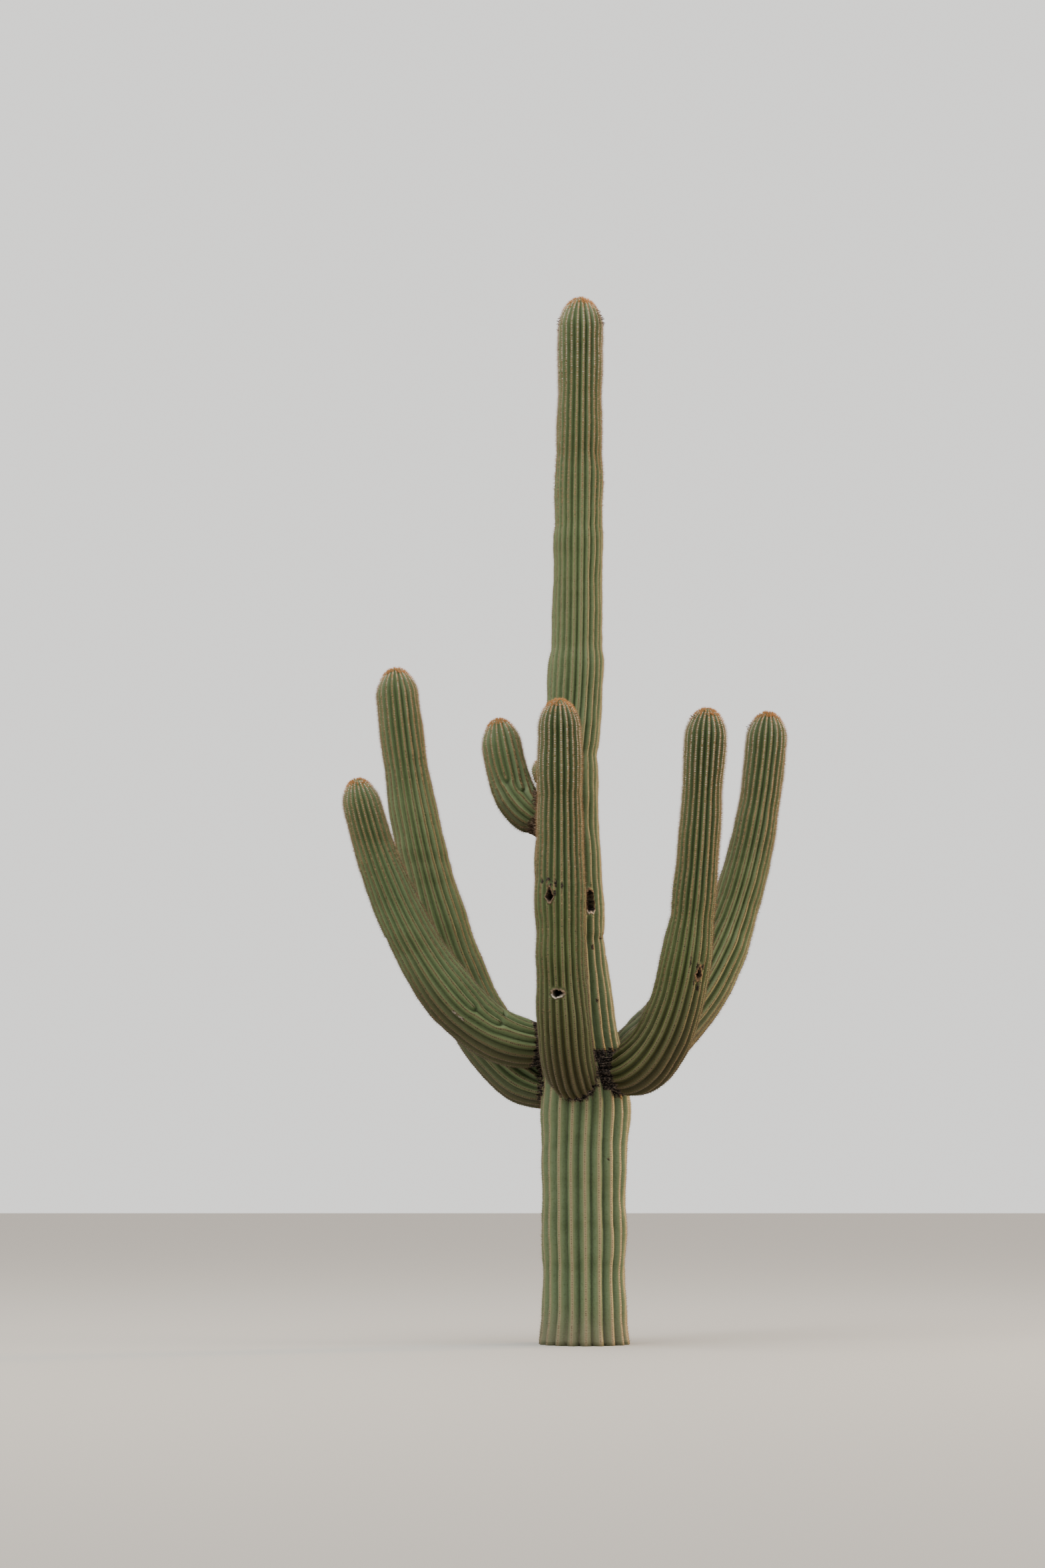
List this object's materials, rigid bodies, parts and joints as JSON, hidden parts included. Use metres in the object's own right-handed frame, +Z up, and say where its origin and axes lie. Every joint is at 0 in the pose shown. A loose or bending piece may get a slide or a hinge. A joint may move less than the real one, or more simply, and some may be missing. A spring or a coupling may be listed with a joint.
{
  "type": "saguaro cactus",
  "caption": "Tall ribbed saguaro cactus with a straight trunk, long arms that curve out and up round it, and a short upper arm.",
  "frame": {"origin": "centre of the flat cut through the trunk at ground level", "axes": "+Z up the trunk, -Y towards the viewer of the picture, +X to the right"},
  "size_m": [3.7256, 2.238, 8.68],
  "materials": {
    "skin": "waxy green skin, paler on the rib crests",
    "cork": "rough dark brown cork",
    "spines": "matt tan and grey spines",
    "wool": "matt pale wool"
  },
  "bodies": {
    "root": {"trunk": "skin", "arm_front_elbow": "skin", "arm_front_upright": "skin", "arm_left_front_elbow": "skin", "arm_left_front_upright": "skin", "arm_left_rear_elbow": "skin", "arm_left_rear_upright": "skin", "arm_right_front_elbow": "skin", "arm_right_front_upright": "skin", "arm_right_rear_elbow": "skin", "arm_right_rear_upright": "skin", "arm_upper": "skin", "bud": "skin"}
  },
  "joints": []
}
